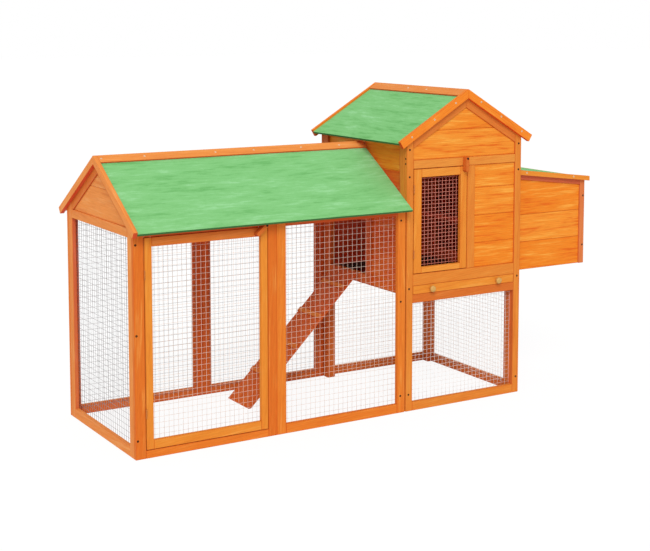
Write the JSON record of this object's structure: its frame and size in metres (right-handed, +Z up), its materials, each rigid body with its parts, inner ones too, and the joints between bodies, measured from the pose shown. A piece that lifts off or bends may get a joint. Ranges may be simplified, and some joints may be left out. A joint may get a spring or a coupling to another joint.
{
  "type": "chicken coop",
  "caption": "Wooden chicken coop: a long wire run with a gabled felt roof, a raised boarded hen house with a ramp and slide-out tray, and a lidded nest box on the side.",
  "frame": {"origin": "centre of the footprint at ground level", "axes": "+Z up; +X along the coop from the run's end to the nest box; -Y is the front, with the doors"},
  "size_m": [1.934, 0.671, 1.1552],
  "materials": {
    "stained_fir": "satin stain",
    "pale_beech": "satin",
    "roof_felt": "matt, mineral",
    "galvanised_wire": "galvanised",
    "zinc_steel": "zinc plated",
    "tray_steel": "galvanised"
  },
  "bodies": {
    "coop": {"run_end_frame": "stained_fir", "run_gable_boards": "stained_fir", "gable_battens": "stained_fir", "run_front_frame": "stained_fir", "door_stops": "stained_fir", "run_panel_frame": "stained_fir", "run_rear_left_frame": "stained_fir", "run_rear_right_frame": "stained_fir", "run_roof_decks": "stained_fir", "run_barge_boards": "stained_fir", "run_ridge_caps": "stained_fir", "ridge_beams": "stained_fir", "house_corner_posts": "stained_fir", "house_front_frame": "stained_fir", "house_front_boards": "stained_fir", "house_rear_frame": "stained_fir", "house_rear_boards": "stained_fir", "house_left_boards": "stained_fir", "pop_hole_frame": "stained_fir", "house_right_rails": "stained_fir", "house_right_boards": "stained_fir", "tray_runners": "stained_fir", "house_perch": "stained_fir", "house_roof_decks": "stained_fir", "house_barge_boards": "stained_fir", "house_ridge_caps": "stained_fir", "nest_walls": "stained_fir", "nest_floor": "stained_fir", "nest_frame": "stained_fir", "nest_divider": "stained_fir", "run_roof_felts": "roof_felt", "house_roof_felts": "roof_felt", "run_end_net": "galvanised_wire", "run_panel_net": "galvanised_wire", "run_rear_left_net": "galvanised_wire", "run_rear_right_net": "galvanised_wire", "house_front_net": "galvanised_wire", "house_rear_net": "galvanised_wire", "house_right_net": "galvanised_wire", "hinge_plates": "zinc_steel", "latch_screws": "zinc_steel"},
    "run_door": {"run_door_frame": "stained_fir", "run_door_net": "galvanised_wire", "run_door_hinge_leaves": "zinc_steel"},
    "house_door": {"house_door_frame": "stained_fir", "house_door_net": "galvanised_wire", "house_door_hinge_leaves": "zinc_steel"},
    "tray": {"tray_pan": "tray_steel", "tray_front": "stained_fir", "tray_knobs": "pale_beech"},
    "nest_lid": {"nest_lid_board": "stained_fir", "nest_lid_felt": "roof_felt", "nest_lid_trim": "stained_fir", "nest_lid_hinge_leaves": "zinc_steel"},
    "ramp": {"ramp_board": "stained_fir", "ramp_cleats": "stained_fir", "ramp_hinge_leaves": "zinc_steel"},
    "run_latch": {"run_latch": "stained_fir"},
    "house_latch": {"house_latch": "stained_fir"}
  },
  "joints": [
    {"name": "run_door_hinge", "type": "hinge", "parent": "coop", "child": "run_door", "pos_m": [-0.91475, -0.2966, 0.373], "axis": [0, 0, -1], "range_deg": [0, 110]},
    {"name": "house_door_hinge", "type": "hinge", "parent": "coop", "child": "house_door", "pos_m": [0.12225, -0.2966, 0.6875], "axis": [0, 0, -1], "range_deg": [0, 105]},
    {"name": "tray_slide", "type": "slide", "parent": "coop", "child": "tray", "axis": [0, -1, 0], "range_m": [0, 0.45]},
    {"name": "nest_lid_hinge", "type": "hinge", "parent": "coop", "child": "nest_lid", "pos_m": [0.60925, 0, 0.84027], "axis": [0, -1, 0], "range_deg": [0, 60]},
    {"name": "ramp_hinge", "type": "hinge", "parent": "coop", "child": "ramp", "pos_m": [0.09125, 0.101, 0.4596], "axis": [0, 1, 0], "range_deg": [0, 60]},
    {"name": "run_latch_turn", "type": "hinge", "parent": "coop", "child": "run_latch", "pos_m": [-0.482, -0.3049, 0.72597], "axis": [0, 1, 0], "range_deg": [-45, 41]},
    {"name": "house_latch_turn", "type": "hinge", "parent": "coop", "child": "house_latch", "pos_m": [0.3445, -0.3049, 0.904], "axis": [0, -1, 0], "range_deg": [-90, 90]}
  ]
}
